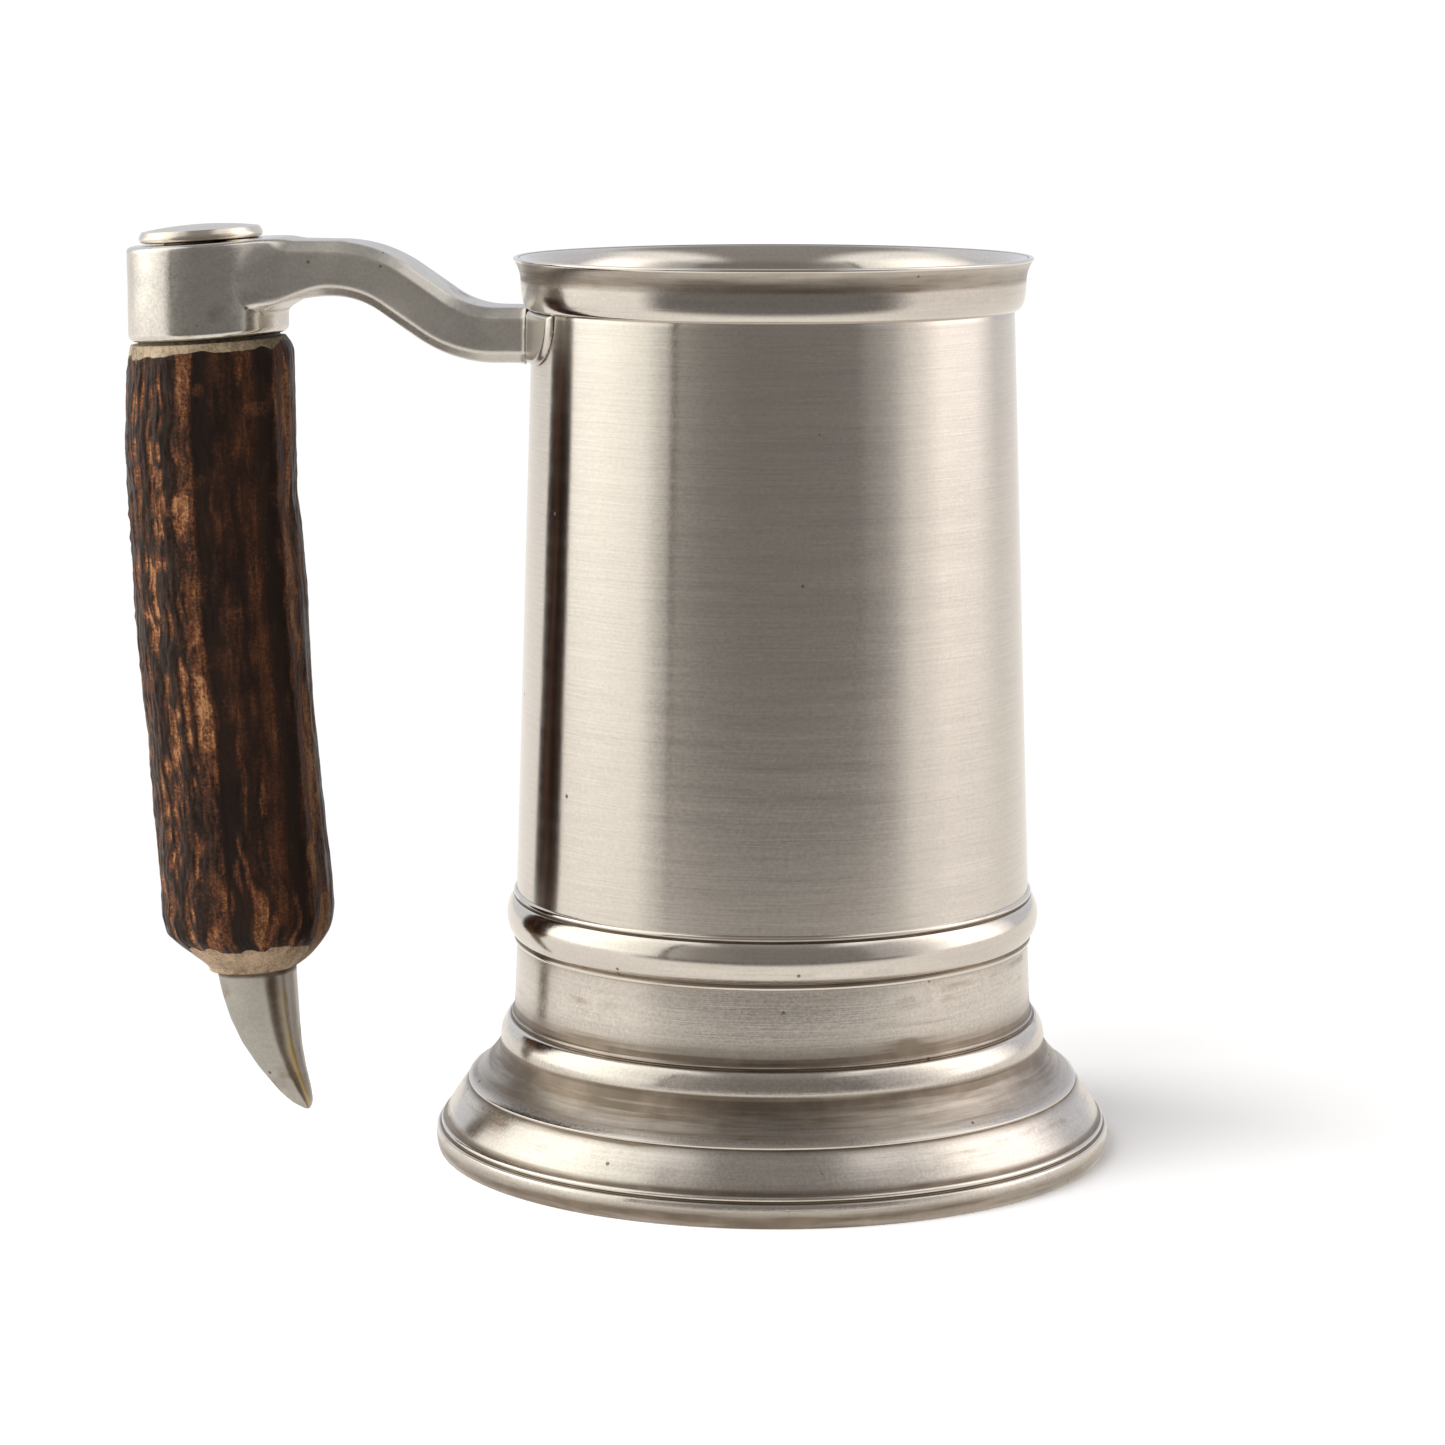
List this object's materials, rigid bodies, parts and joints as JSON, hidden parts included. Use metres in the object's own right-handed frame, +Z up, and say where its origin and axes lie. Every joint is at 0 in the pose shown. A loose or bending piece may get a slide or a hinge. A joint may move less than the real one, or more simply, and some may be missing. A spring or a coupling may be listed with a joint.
{
  "type": "tankard",
  "caption": "Straight-sided pewter drinking tankard on a moulded flared foot, with an antler grip hung from a cast side arm and ending in a claw finial.",
  "frame": {"origin": "on the vessel's axis, in the plane of the flat ring under the foot", "axes": "+Z up along the vessel's axis, +X away from the handle, so the handle is towards -X; +Y completes the right-handed frame"},
  "size_m": [0.1609, 0.1094, 0.1484],
  "materials": {
    "pewter_brushed": "pewter, satin, fine brushing round the vessel's axis, brown patina near the mouldings",
    "pewter_polished": "pewter, softly polished turned mouldings, dark patina in the grooves",
    "pewter_cast": "cast pewter, hand-polished, fine pits and scratches",
    "antler": "stag antler, dark stained bark with tan ridges and cream cut ends, slight gloss",
    "stud_steel": "plain zinc-plated steel",
    "fibre": "dark fibre washer, oil-stained"
  },
  "bodies": {
    "root": {"barrel": "pewter_brushed", "rim_collar": "pewter_polished", "mid_band": "pewter_polished", "foot_skirt": "pewter_polished", "floor_disc": "pewter_brushed", "saddle_pad": "pewter_cast", "handle_arm": "pewter_cast", "cap_disc": "pewter_cast", "tie_rod": "stud_steel", "rod_nut": "stud_steel", "nut_washer": "stud_steel", "seat_washer": "fibre", "antler_grip": "antler", "claw_finial": "pewter_cast"}
  },
  "joints": []
}
